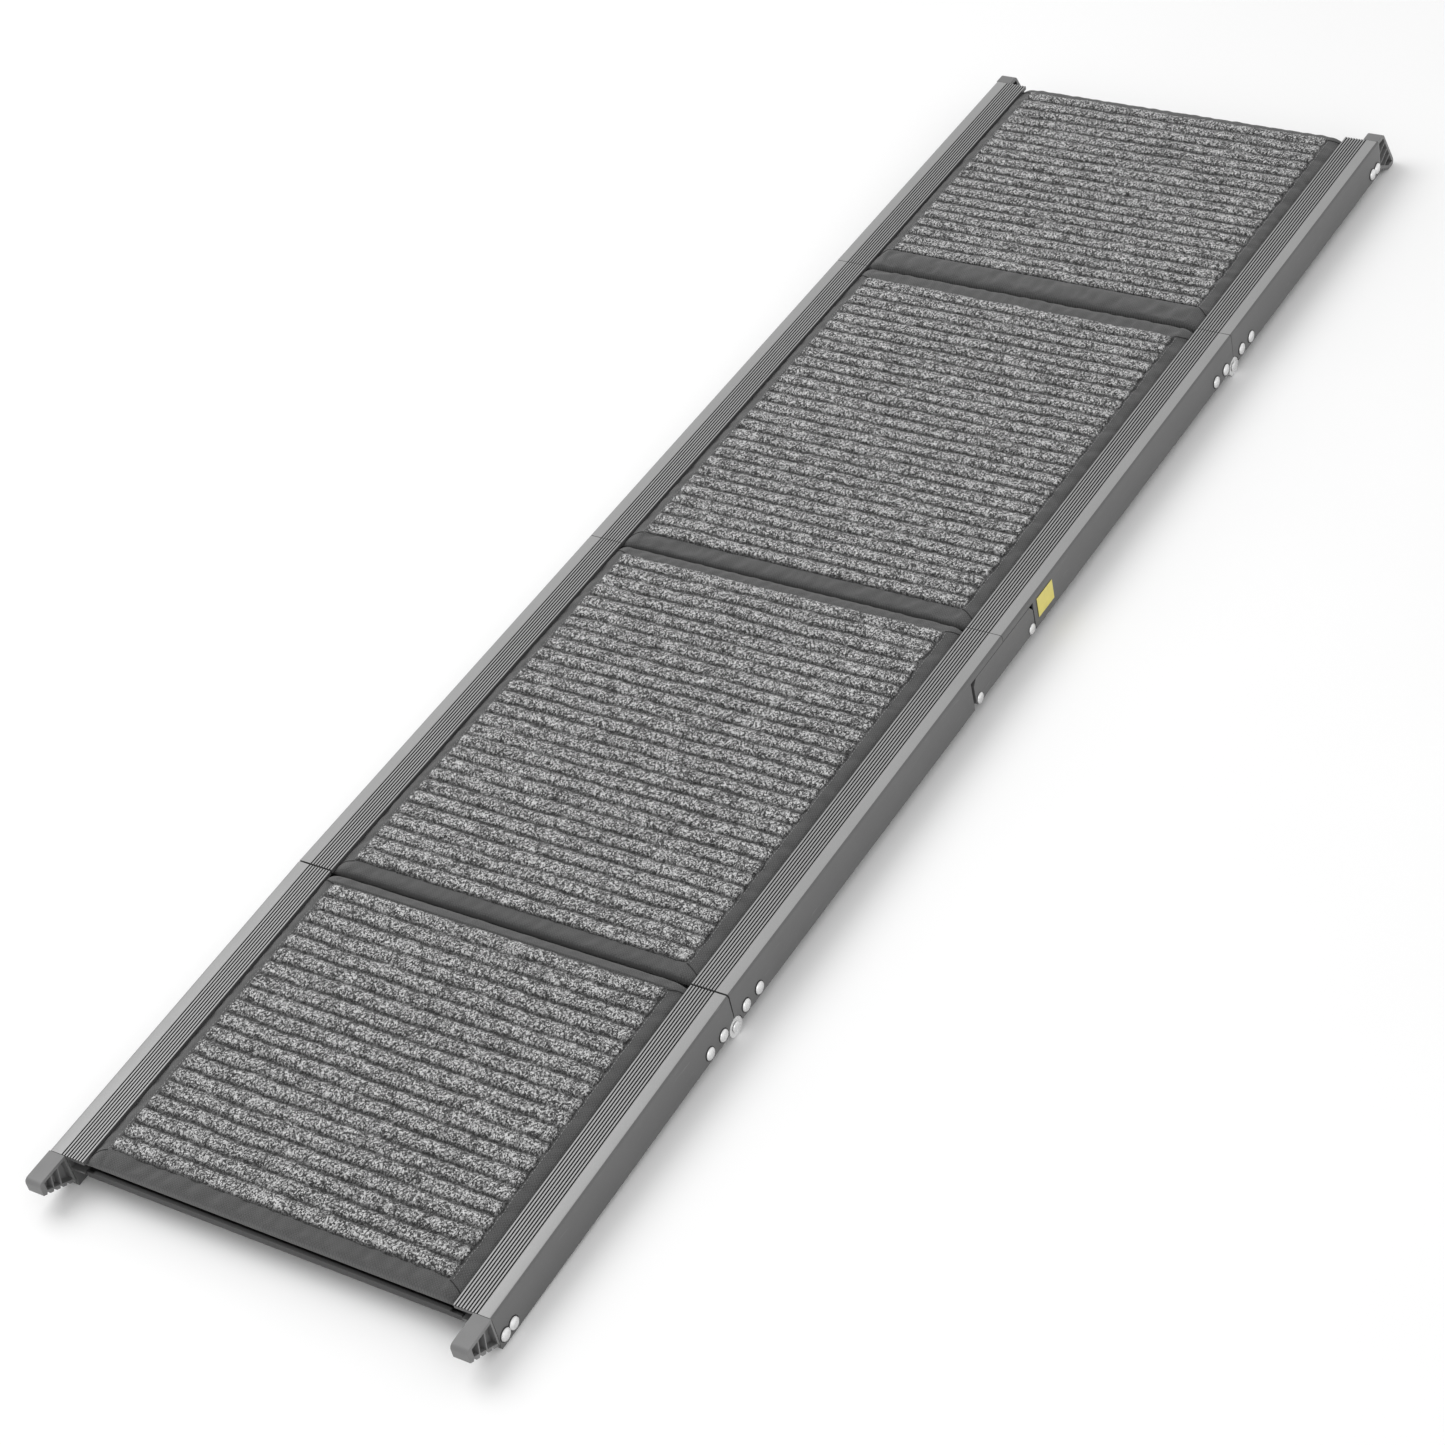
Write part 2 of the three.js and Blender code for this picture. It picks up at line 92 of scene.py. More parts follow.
def section_matrix(number):
    """From a section's own frame, x out from its inner end, to the ramp's frame."""
    outward = 1 if number > 2 else -1
    height = joint("fold_4")["pos_m"][2]
    if number in (2, 3):
        return Matrix.Translation((0, 0, height)) @ Matrix.Diagonal((outward, 1, 1, 1))
    hinge = joint(f"fold_{number}")
    droop = math.radians(-hinge["range_deg"][0])
    turn = Matrix.Rotation(outward * droop, 4, "Y")
    return Matrix.Translation(hinge["pos_m"]) @ turn @ Matrix.Diagonal((outward, 1, 1, 1))


def local_box(node, number):
    """A node's lowest and highest corners in its section's own frame."""
    inverse = section_matrix(number).inverted()
    points = [inverse @ v.co for v in frame["nodes"][node].data.vertices]
    low = Vector(min(p[i] for p in points) for i in range(3))
    high = Vector(max(p[i] for p in points) for i in range(3))
    return low, high


def section_body(number):
    return f"section_{number}"


def clamp(value, low=0.0, high=1.0):
    return max(low, min(high, value))


def smooth(value):
    t = clamp(value)
    return t * t * (3 - 2 * t)


# ---------------------------------------------------------------- pieces


def finish_piece(bm, name, number, body, material, replaces=()):
    """Puts a piece drawn in a section's frame in its place and gives it body, slot and material."""
    if number is not None:
        bmesh.ops.transform(bm, matrix=section_matrix(number), verts=bm.verts)
    bmesh.ops.remove_doubles(bm, verts=bm.verts, dist=1e-7)
    bmesh.ops.recalc_face_normals(bm, faces=bm.faces)
    mesh = bpy.data.meshes.new(name)
    bm.to_mesh(mesh)
    bm.free()
    mesh.materials.append(material)
    piece = bpy.data.objects.new(name, mesh)
    bpy.context.scene.collection.objects.link(piece)
    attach(piece, body)
    if replaces:
        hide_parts(*replaces)
    return piece


def shade_smooth(piece, angle):
    """Smooth shading, with edges sharper than angle kept sharp."""
    bm = bmesh.new()
    bm.from_mesh(piece.data)
    for face in bm.faces:
        face.smooth = True
    for edge in bm.edges:
        edge.smooth = len(edge.link_faces) == 2 and edge.calc_face_angle(0) < angle
    bm.to_mesh(piece.data)
    bm.free()


def mark_painted_lighting(bm, number):
    """Marks a rail's top faces 1 for painted light, its grooves 0 for painted shade and its other faces 0.5.
    """
    painted_lighting = bm.faces.layers.float.new("painted_lighting")
    inverse = section_matrix(number).inverted()
    top = local_box(f"rail_{number}_left", number)[1].z
    for face in bm.faces:
        centre = inverse @ face.calc_center_median()
        upright = abs((inverse.to_3x3() @ face.normal).z)
        inside = all(top - 1.1 * MM < (inverse @ v.co).z for v in face.verts)
        # Painted light on the top faces, painted shade on the groove faces.
        face[painted_lighting] = 0.5
        if centre.z > top - 0.15 * MM and upright > 0.6:
            face[painted_lighting] = 1
        elif inside and centre.z < top - 0.15 * MM and abs(centre.y) < CAD_FACE - 2.7 * MM:
            face[painted_lighting] = 0


def refine(node, name, width, material, segments=2, painted_lighting_of=None):
    """A copy of a CAD node with its facets joined, its edges eased and its round faces smooth."""
    bm = bmesh.new()
    bm.from_mesh(frame["nodes"][node].data)
    bmesh.ops.remove_doubles(bm, verts=bm.verts, dist=1e-6)
    bmesh.ops.dissolve_limit(
        bm, angle_limit=math.radians(0.4), verts=bm.verts, edges=bm.edges, use_dissolve_boundaries=False
    )
    # For rails, mark the tops for painted light and the grooves for painted shade.
    if painted_lighting_of:
        bm.normal_update()
        mark_painted_lighting(bm, painted_lighting_of)
    mesh = bpy.data.meshes.new(name)
    bm.to_mesh(mesh)
    bm.free()
    mesh.materials.clear()
    mesh.materials.append(material)
    piece = bpy.data.objects.new(name, mesh)
    bpy.context.scene.collection.objects.link(piece)
    shade_smooth(piece, math.radians(28))
    bevel = piece.modifiers.new("Eased edges", "BEVEL")
    bevel.width = width
    bevel.segments = segments
    bevel.limit_method = "ANGLE"
    bevel.angle_limit = math.radians(30)
    bevel.use_clamp_overlap = True
    bevel.harden_normals = True
    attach(piece, frame["nodes"][node]["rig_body"])
    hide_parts(node)
    return piece


def tube(bm, points, radius, sides=8):
    """A closed round thread through points."""
    points = [Vector(p) for p in points]
    axis = (points[1] - points[0]).normalized()
    place = Matrix.Translation(points[0]) @ axis.to_track_quat("Z", "Y").to_matrix().to_4x4()
    ring = bmesh.ops.create_circle(bm, cap_ends=True, segments=sides, radius=radius, matrix=place)
    edges = list({e for v in ring["verts"] for e in v.link_edges})
    for before, here, after in zip(points, points[1:], points[2:] + [points[-1]]):
        grown = bmesh.ops.extrude_edge_only(bm, edges=edges)["geom"]
        verts = [g for g in grown if isinstance(g, bmesh.types.BMVert)]
        edges = [g for g in grown if isinstance(g, bmesh.types.BMEdge)]
        bmesh.ops.translate(bm, vec=here - before, verts=verts)
        heading = (after - before).normalized()
        turn = axis.rotation_difference(heading).to_matrix().to_4x4()
        bmesh.ops.rotate(bm, cent=here, matrix=turn, verts=verts)
        axis = heading
    bmesh.ops.contextual_create(bm, geom=edges)


def stitches(bm, points, pitch, length, radius):
    """A row of short thread stitches along a line of points."""
    points = [Vector(p) for p in points]
    travelled = 0.0
    for start, end in zip(points, points[1:]):
        run = end - start
        turn = run.to_track_quat("X", "Z").to_matrix().to_4x4()
        while travelled < run.length:
            centre = start + run.normalized() * travelled
            size = Matrix.Diagonal((length / 2, radius, radius * 0.8, 1))
            place = Matrix.Translation(centre) @ turn @ size
            bmesh.ops.create_icosphere(bm, subdivisions=1, radius=1, matrix=place)
            travelled += pitch
        travelled -= run.length


# ---------------------------------------------------------------- node helpers


def add_node(tree, kind, inputs=None, **settings):
    """A node with its settings, its unlinked inputs set and its linked inputs joined."""
    made = tree.nodes.new(kind)
    for name, value in settings.items():
        setattr(made, name, value)
    for name, value in (inputs or {}).items():
        if isinstance(value, bpy.types.NodeSocket):
            tree.links.new(value, made.inputs[name])
        else:
            made.inputs[name].default_value = value
    return made


def calculate(tree, operation, first, second=0.0, third=0.5):
    inputs = {0: first, 1: second, 2: third}
    return add_node(tree, "ShaderNodeMath", inputs, operation=operation).outputs[0]


def mix_colours(tree, factor, first, second, blend="MIX"):
    made = tree.nodes.new("ShaderNodeMix")
    made.data_type = "RGBA"
    made.blend_type = blend
    for socket, value in ((made.inputs[0], factor), (made.inputs[6], first), (made.inputs[7], second)):
        if isinstance(value, bpy.types.NodeSocket):
            tree.links.new(value, socket)
        else:
            socket.default_value = value
    return made.outputs[2]


def colour_ramp(tree, factor, stops):
    made = add_node(tree, "ShaderNodeValToRGB", {"Fac": factor})
    band = made.color_ramp.elements
    while len(band) < len(stops):
        band.new(1.0)
    for element, (position, value) in zip(band, stops):
        element.position = position
        element.color = (value, value, value, 1)
    return made.outputs["Color"]


def grey(value):
    return (value, value, value, 1)


def new_group(name, inputs, outputs):
    """A shader node group with named sockets. Inputs are (name, kind, default)."""
    tree = bpy.data.node_groups.new(name, "ShaderNodeTree")
    for socket_name, kind, default in inputs:
        socket = tree.interface.new_socket(name=socket_name, in_out="INPUT", socket_type=kind)
        if default is not None:
            socket.default_value = default
    for socket_name, kind in outputs:
        tree.interface.new_socket(name=socket_name, in_out="OUTPUT", socket_type=kind)
    return tree, tree.nodes.new("NodeGroupInput"), tree.nodes.new("NodeGroupOutput")


def use_group(tree, group, inputs):
    made = tree.nodes.new("ShaderNodeGroup")
    made.node_tree = group
    for name, value in inputs.items():
        if isinstance(value, bpy.types.NodeSocket):
            tree.links.new(value, made.inputs[name])
        else:
            made.inputs[name].default_value = value
    return made.outputs


FLOAT = "NodeSocketFloat"
VECTOR = "NodeSocketVector"


def grain_group():
    """Fine speckle and slow mottling, as powder coat, moulded plastic and paint show."""
    name = "Fine Grain"
    if name in bpy.data.node_groups:
        return bpy.data.node_groups[name]
    tree, start, end = new_group(
        name,
        [("Vector", VECTOR, None), ("Grain Scale", FLOAT, 1500.0), ("Mottle Scale", FLOAT, 25.0)],
        [("Height", FLOAT), ("Speckle", FLOAT), ("Mottle", FLOAT)],
    )
    where = start.outputs["Vector"]
    fine = add_node(
        tree, "ShaderNodeTexNoise", {"Vector": where, "Scale": start.outputs["Grain Scale"], "Detail": 2.0}
    )
    slow = add_node(
        tree, "ShaderNodeTexNoise", {"Vector": where, "Scale": start.outputs["Mottle Scale"], "Detail": 4.0}
    )
    tree.links.new(fine.outputs["Fac"], end.inputs["Height"])
    tree.links.new(fine.outputs["Fac"], end.inputs["Speckle"])
    tree.links.new(slow.outputs["Fac"], end.inputs["Mottle"])
    return tree


def drawn_group():
    """Fine lines along X, as an extrusion die leaves, and sparse scuffs."""
    name = "Drawn Lines"
    if name in bpy.data.node_groups:
        return bpy.data.node_groups[name]
    tree, start, end = new_group(
        name, [("Vector", VECTOR, None)], [("Lines", FLOAT), ("Scuffs", FLOAT)]
    )
    stretched = add_node(
        tree,
        "ShaderNodeMapping",
        {"Vector": start.outputs["Vector"], "Scale": (6.0, 1400.0, 1400.0)},
    )
    lines = add_node(
        tree, "ShaderNodeTexNoise", {"Vector": stretched.outputs[0], "Scale": 1.0, "Detail": 3.0}
    )
    broad = add_node(
        tree,
        "ShaderNodeMapping",
        {"Vector": start.outputs["Vector"], "Scale": (35.0, 500.0, 500.0), "Rotation": (0.0, 0.0, 0.12)},
    )
    scuffs = add_node(
        tree, "ShaderNodeTexNoise", {"Vector": broad.outputs[0], "Scale": 1.0, "Detail": 6.0}
    )
    sparse = add_node(
        tree,
        "ShaderNodeMapRange",
        {"Value": scuffs.outputs["Fac"], "From Min": 0.66, "From Max": 0.78},
    )
    tree.links.new(lines.outputs["Fac"], end.inputs["Lines"])
    tree.links.new(sparse.outputs[0], end.inputs["Scuffs"])
    return tree


def weave_group():
    """A plain weave of crossing threads in X and Y, a little uneven."""
    name = "Plain Weave"
    if name in bpy.data.node_groups:
        return bpy.data.node_groups[name]
    tree, start, end = new_group(
        name,
        [("Vector", VECTOR, None), ("Threads", FLOAT, 800.0)],
        [("Height", FLOAT), ("Shade", FLOAT)],
    )
    wobble = add_node(
        tree, "ShaderNodeTexNoise", {"Vector": start.outputs["Vector"], "Scale": 120.0, "Detail": 2.0}
    )
    pushed = add_node(
        tree,
        "ShaderNodeVectorMath",
        {0: wobble.outputs["Color"], 1: (0.0012, 0.0012, 0.0012)},
        operation="MULTIPLY",
    )
    moved = add_node(
        tree,
        "ShaderNodeVectorMath",
        {0: start.outputs["Vector"], 1: pushed.outputs[0]},
        operation="ADD",
    )
    parts = add_node(tree, "ShaderNodeSeparateXYZ", {0: moved.outputs[0]})
    turn = calculate(tree, "MULTIPLY", start.outputs["Threads"], math.pi)
    waves = []
    for axis in ("X", "Y"):
        angle = calculate(tree, "MULTIPLY", parts.outputs[axis], turn)
        waves.append(calculate(tree, "SINE", angle))
    crossing = calculate(tree, "MULTIPLY", waves[0], waves[1])
    over = calculate(tree, "ABSOLUTE", crossing)
    fibres = add_node(
        tree, "ShaderNodeTexNoise", {"Vector": start.outputs["Vector"], "Scale": 1900.0, "Detail": 2.0}
    )
    rough = calculate(tree, "MULTIPLY", fibres.outputs["Fac"], 0.5)
    tree.links.new(calculate(tree, "ADD", over, rough), end.inputs["Height"])
    signed = calculate(tree, "MULTIPLY_ADD", crossing, 0.25, 0.5)
    mixed = calculate(tree, "ADD", signed, calculate(tree, "SUBTRACT", fibres.outputs["Fac"], 0.5))
    tree.links.new(mixed, end.inputs["Shade"])
    return tree


def yarn_group():
    """Short curly yarn ends of mixed dark and light fibre."""
    name = "Curly Yarn"
    if name in bpy.data.node_groups:
        return bpy.data.node_groups[name]
    tree, start, end = new_group(
        name,
        [("Vector", VECTOR, None), ("Yarn Scale", FLOAT, 520.0)],
        [("Tone", FLOAT), ("Height", FLOAT), ("Clump", FLOAT)],
    )
    where = start.outputs["Vector"]
    curl = add_node(tree, "ShaderNodeTexNoise", {"Vector": where, "Scale": 420.0, "Detail": 2.0})
    push = add_node(
        tree,
        "ShaderNodeVectorMath",
        {0: curl.outputs["Color"], 1: (0.0026, 0.0026, 0.002)},
        operation="MULTIPLY",
    )
    curled = add_node(tree, "ShaderNodeVectorMath", {0: where, 1: push.outputs[0]}, operation="ADD")
    tufts = add_node(
        tree,
        "ShaderNodeTexVoronoi",
        {"Vector": curled.outputs[0], "Scale": start.outputs["Yarn Scale"], "Randomness": 1.0},
    )
    tone = add_node(tree, "ShaderNodeSeparateColor", {0: tufts.outputs["Color"]})
    clump = add_node(tree, "ShaderNodeTexNoise", {"Vector": where, "Scale": 90.0, "Detail": 3.0})
    rise = calculate(tree, "SUBTRACT", 1.0, tufts.outputs["Distance"])
    tree.links.new(tone.outputs[0], end.inputs["Tone"])
    tree.links.new(rise, end.inputs["Height"])
    tree.links.new(clump.outputs["Fac"], end.inputs["Clump"])
    return tree


def new_material(name):
    material = bpy.data.materials.new(name)
    material.use_nodes = True
    tree = material.node_tree
    shader = tree.nodes["Principled BSDF"]
    place = tree.nodes.new("ShaderNodeTexCoord").outputs["Object"]
    return material, tree, shader, place


def add_bump(tree, shader, height, strength, distance):
    bump = add_node(
        tree, "ShaderNodeBump", {"Height": height, "Strength": strength, "Distance": distance}
    )
    tree.links.new(bump.outputs[0], shader.inputs["Normal"])


# ---------------------------------------------------------------- materials


def coated_metal(name, tone, roughness, metallic, scuff_tone, painted_lighting_tone=None):
    """Powder-coated or anodised aluminium with fine drawn lines and pale scuffs; on rails, painted light on
    the tops and painted shade in the grooves.
    """
    if name in bpy.data.materials:
        return bpy.data.materials[name]
    material, tree, shader, place = new_material(name)
    grain = use_group(tree, grain_group(), {"Vector": place, "Grain Scale": 1700.0, "Mottle Scale": 18.0})
    lines = use_group(tree, drawn_group(), {"Vector": place})
    speckled = mix_colours(tree, grain["Speckle"], grey(tone * 0.82), grey(tone * 1.2))
    clouds = colour_ramp(tree, grain["Mottle"], [(0.3, 0.75), (0.7, 1.0)])
    mottled = mix_colours(tree, 0.25, speckled, clouds, "MULTIPLY")
    # Painted light and shade: top faces are lightened to the lit top tone, as if lit from above, and groove
    # faces are darkened to 0.22 of the rail tone.
    if painted_lighting_tone:
        painted_lighting = add_node(tree, "ShaderNodeAttribute", attribute_name="painted_lighting")
        top_light_gain = painted_lighting_tone / tone
        lighting_shares = colour_ramp(tree, painted_lighting.outputs["Fac"], [(0.0, 0.22 / top_light_gain), (0.5, 1 / top_light_gain), (1.0, 1.0)])
        lifted = mix_colours(tree, 1.0, mottled, lighting_shares, "MULTIPLY")
        mottled = mix_colours(tree, 1.0, lifted, grey(top_light_gain), "MULTIPLY")
    worn = mix_colours(tree, calculate(tree, "MULTIPLY", lines["Scuffs"], 0.35), mottled, grey(scuff_tone))
    tree.links.new(worn, shader.inputs["Base Color"])
    rough = add_node(
        tree,
        "ShaderNodeMapRange",
        {"Value": lines["Lines"], "To Min": roughness - 0.07, "To Max": roughness + 0.08},
    )
    tree.links.new(rough.outputs[0], shader.inputs["Roughness"])
    shader.inputs["Metallic"].default_value = metallic
    height = calculate(tree, "ADD", grain["Height"], calculate(tree, "MULTIPLY", lines["Lines"], 0.6))
    add_bump(tree, shader, height, 0.25, 0.00012)
    return material


def moulded_plastic(name, tone, roughness):
    """Satin moulded plastic with a fine spark-eroded grain."""
    if name in bpy.data.materials:
        return bpy.data.materials[name]
    material, tree, shader, place = new_material(name)
    grain = use_group(tree, grain_group(), {"Vector": place, "Grain Scale": 2600.0, "Mottle Scale": 60.0})
    base = mix_colours(tree, grain["Mottle"], grey(tone * 0.88), grey(tone * 1.1))
    tree.links.new(base, shader.inputs["Base Color"])
    rough = add_node(
        tree,
        "ShaderNodeMapRange",
        {"Value": grain["Speckle"], "To Min": roughness - 0.05, "To Max": roughness + 0.07},
    )
    tree.links.new(rough.outputs[0], shader.inputs["Roughness"])
    add_bump(tree, shader, grain["Height"], 0.3, 0.00015)
    return material


def plated_steel(name, tone, roughness):
    """Bright zinc-plated steel, lightly clouded."""
    if name in bpy.data.materials:
        return bpy.data.materials[name]
    material, tree, shader, place = new_material(name)
    grain = use_group(tree, grain_group(), {"Vector": place, "Grain Scale": 900.0, "Mottle Scale": 220.0})
    base = mix_colours(tree, grain["Mottle"], grey(tone * 0.85), grey(min(1.0, tone * 1.08)))
    tree.links.new(base, shader.inputs["Base Color"])
    rough = add_node(
        tree,
        "ShaderNodeMapRange",
        {"Value": grain["Mottle"], "To Min": roughness - 0.08, "To Max": roughness + 0.12},
    )
    tree.links.new(rough.outputs[0], shader.inputs["Roughness"])
    shader.inputs["Metallic"].default_value = 0.85
    add_bump(tree, shader, grain["Height"], 0.12, 0.0001)
    return material


def woven_fabric():
    """Dark woven polyester of the mats' covers."""
    name = "Mat Fabric"
    if name in bpy.data.materials:
        return bpy.data.materials[name]
    material, tree, shader, place = new_material(name)
    tone = bpy.context.scene.ramp_colours.fabric_tone
    weave = use_group(tree, weave_group(), {"Vector": place, "Threads": 760.0})
    grain = use_group(tree, grain_group(), {"Vector": place, "Grain Scale": 900.0, "Mottle Scale": 40.0})
    base = mix_colours(tree, weave["Shade"], grey(tone * 0.45), grey(tone * 1.75))
    clouds = colour_ramp(tree, grain["Mottle"], [(0.3, 0.7), (0.7, 1.0)])
    faded = mix_colours(tree, 0.4, base, clouds, "MULTIPLY")
    tree.links.new(faded, shader.inputs["Base Color"])
    shader.inputs["Roughness"].default_value = 0.82
    shader.inputs["Sheen Weight"].default_value = 0.25
    shader.inputs["Sheen Roughness"].default_value = 0.5
    add_bump(tree, shader, weave["Height"], 0.55, 0.0005)
    return material


def carpet_pile():
    """Salt-and-pepper looped pile, darker down in the valleys between its rows and at its rim: painted shade.
    """
    name = "Carpet Pile"
    if name in bpy.data.materials:
        return bpy.data.materials[name]
    material, tree, shader, place = new_material(name)
    colours = bpy.context.scene.ramp_colours
    yarn = use_group(tree, yarn_group(), {"Vector": place, "Yarn Scale": 900.0})
    clumps = calculate(tree, "MULTIPLY_ADD", yarn["Clump"], 0.5, -0.25)
    clumped = calculate(tree, "ADD", yarn["Tone"], clumps)
    dark, light = colours.pile_dark, colours.pile_light
    tones = colour_ramp(
        tree,
        clumped,
        [(0.12, dark), (0.4, light * 0.12), (0.66, light * 0.5), (0.9, light)],
    )
    # Painted shade: darkens the yarn in the valleys between rows and towards the rim.
    depth = add_node(tree, "ShaderNodeAttribute", attribute_name="painted_pile_shade")
    shaded = colour_ramp(tree, depth.outputs["Fac"], [(0.0, 0.05), (0.35, 0.28), (0.62, 0.78), (0.85, 1.0)])
    base = mix_colours(tree, 1.0, tones, shaded, "MULTIPLY")
    tree.links.new(base, shader.inputs["Base Color"])
    shader.inputs["Roughness"].default_value = 0.9
    shader.inputs["Sheen Weight"].default_value = 0.15
    add_bump(tree, shader, yarn["Height"], 0.8, 0.0012)
    return material


def thread_material(name, tone):
    """Twisted polyester thread."""
    if name in bpy.data.materials:
        return bpy.data.materials[name]
    material, tree, shader, place = new_material(name)
    grain = use_group(tree, grain_group(), {"Vector": place, "Grain Scale": 2200.0, "Mottle Scale": 150.0})
    base = mix_colours(tree, grain["Speckle"], grey(tone * 0.6), grey(tone * 1.3))
    tree.links.new(base, shader.inputs["Base Color"])
    shader.inputs["Roughness"].default_value = 0.75
    add_bump(tree, shader, grain["Height"], 0.4, 0.0002)
    return material


def board_material():
    """Dark pressed board, with a faint streaky grain."""
    name = "Deck Board"
    if name in bpy.data.materials:
        return bpy.data.materials[name]
    material, tree, shader, place = new_material(name)
    lines = use_group(tree, drawn_group(), {"Vector": place})
    grain = use_group(tree, grain_group(), {"Vector": place, "Grain Scale": 700.0, "Mottle Scale": 30.0})
    base = mix_colours(tree, lines["Lines"], grey(0.018), grey(0.04))
    tree.links.new(base, shader.inputs["Base Color"])
    shader.inputs["Roughness"].default_value = 0.6
    add_bump(tree, shader, grain["Height"], 0.4, 0.0003)
    return material


def label_material():
    """Plain yellow vinyl, faintly mottled."""
    name = "Yellow Vinyl"
    if name in bpy.data.materials:
        return bpy.data.materials[name]
    material, tree, shader, place = new_material(name)
    tint = bpy.context.scene.ramp_colours.label_tint
    grain = use_group(tree, grain_group(), {"Vector": place, "Grain Scale": 1200.0, "Mottle Scale": 140.0})
    pale = [c * 1.05 for c in tint]
    deep = [c * 0.82 for c in tint]
    base = mix_colours(tree, grain["Mottle"], (*deep, 1), (*pale, 1))
    tree.links.new(base, shader.inputs["Base Color"])
    shader.inputs["Roughness"].default_value = 0.42
    shader.inputs["Coat Weight"].default_value = 0.3
    add_bump(tree, shader, grain["Height"], 0.1, 0.0001)
    return material


def rail_material():
    colours = bpy.context.scene.ramp_colours
    side, painted_lighting = colours.rail_tone, colours.painted_lighting_tone
    # Painted light on the rails' tops and painted shade in their grooves, from the lit top tone.
    return coated_metal("Rail Aluminium", side, 0.42, 0.3, side * 2.2, painted_lighting)


def steel_material():
    return plated_steel("Bright Steel", bpy.context.scene.ramp_colours.steel_tone, 0.26)


# ---------------------------------------------------------------- settings


class RampColours(bpy.types.PropertyGroup):
    """Tones and tints of the ramp's materials, as linear reflectance."""

    rail_tone: bpy.props.FloatProperty(
        name="Rail Tone", description="Reflectance of the rails' coating", default=0.135, min=0, max=1
    )
    # Painted light: this lighter tone on the rails' top faces stands in for light falling from above.
    painted_lighting_tone: bpy.props.FloatProperty(
        name="Lit Top Tone", description="Reflectance of the rails' walked-on faces", default=0.33, min=0, max=1
    )
    foot_tone: bpy.props.FloatProperty(
        name="Foot Tone", description="Reflectance of the feet's plastic", default=0.17, min=0, max=1
    )
    bar_tone: bpy.props.FloatProperty(
        name="Bar Tone", description="Reflectance of the cross bars", default=0.05, min=0, max=1
    )
    steel_tone: bpy.props.FloatProperty(
        name="Steel Tone", description="Reflectance of rivets, pins and barrels", default=0.86, min=0, max=1
    )
    fabric_tone: bpy.props.FloatProperty(
        name="Fabric Tone", description="Reflectance of the mats' woven cover", default=0.062, min=0, max=1
    )
    pile_dark: bpy.props.FloatProperty(
        name="Dark Yarn", description="Reflectance of the darkest carpet yarn", default=0.015, min=0, max=1
    )
    pile_light: bpy.props.FloatProperty(
        name="Light Yarn", description="Reflectance of the lightest carpet yarn", default=0.66, min=0, max=1
    )
    label_tint: bpy.props.FloatVectorProperty(
        name="Label Tint",
        description="Colour of the side label",
        default=(0.76, 0.66, 0.15),
        subtype="COLOR",
        min=0,
        max=1,
    )


class RampSizes(bpy.types.PropertyGroup):
    """Sizes of the soft pieces and of the fine detail."""

    row_pitch: bpy.props.FloatProperty(
        name="Row Pitch", description="Width of one carpet row", default=14.87 * MM, unit="LENGTH"
    )
    row_depth: bpy.props.FloatProperty(
        name="Row Depth",
        description="Depth of the valleys between carpet rows",
        default=2.5 * MM,
        unit="LENGTH",
    )
    pile_step: bpy.props.FloatProperty(
        name="Pile Step", description="Spacing of the carpet's mesh", default=1.5 * MM, unit="LENGTH"
    )
    cover_step: bpy.props.FloatProperty(
        name="Cover Step", description="Spacing of the mat cover's mesh", default=4.5 * MM, unit="LENGTH"
    )
    eased_edge: bpy.props.FloatProperty(
        name="Eased Edge", description="Width of the bevel on metal edges", default=0.2 * MM, unit="LENGTH"
    )
    stitch_pitch: bpy.props.FloatProperty(
        name="Stitch Pitch", description="Distance between stitches", default=3.4 * MM, unit="LENGTH"
    )
    puff: bpy.props.FloatProperty(
        name="Puff", description="The most that the covers' foam may swell", default=1.6 * MM, unit="LENGTH"
    )


# ---------------------------------------------------------------- mats


def mat_layout(number):
    """The sizes of one mat in its section's frame, read from its CAD nodes."""
    mat_low, mat_high = local_box(f"mat_pad_{number}", number)
    pile_low, pile_high = local_box(f"carpet_{number}", number)
    rail_low, rail_high = local_box(f"rail_{number}_left", number)
    return {
        "x0": mat_low.x,
        "x1": mat_high.x,
        "edge": mat_high.y,
        "bottom": mat_low.z,
        "top": mat_high.z,
        "rail": rail_low.y,
        "lip": rail_high.z - LIP_DEPTH,
        "pile_x0": pile_low.x,
        "pile_x1": pile_high.x,
        "pile_edge": pile_high.y,
        "pile_top": pile_high.z,
    }


def cover_height(layout, x, y, raised_hem):
    """The height of a cover: flat under the carpet, falling under the rail lips, round at its ends."""
    side = abs(y)
    slope = clamp((side - layout["pile_edge"]) / (layout["rail"] - layout["pile_edge"]))
    fall = layout["top"] - layout["lip"]
    height = layout["top"] - fall * slope**2.2
    hem = layout["pile_x0"] - x
    if raised_hem:
        height += RAISED_HEM * smooth(hem / (0.8 * MM)) * (1 - slope)
    waviness = noise.noise(Vector((x * 28, y * 9, layout["x1"] * 40)))
    height += 0.55 * MM * waviness * (0.25 + slope * (1 - slope) * 3)
    for gap in (x - layout["x0"], layout["x1"] - x):
        if gap < END_RADIUS:
            height -= END_RADIUS * (1 - math.sqrt(max(0.0, 1 - (1 - gap / END_RADIUS) ** 2)))
    return height


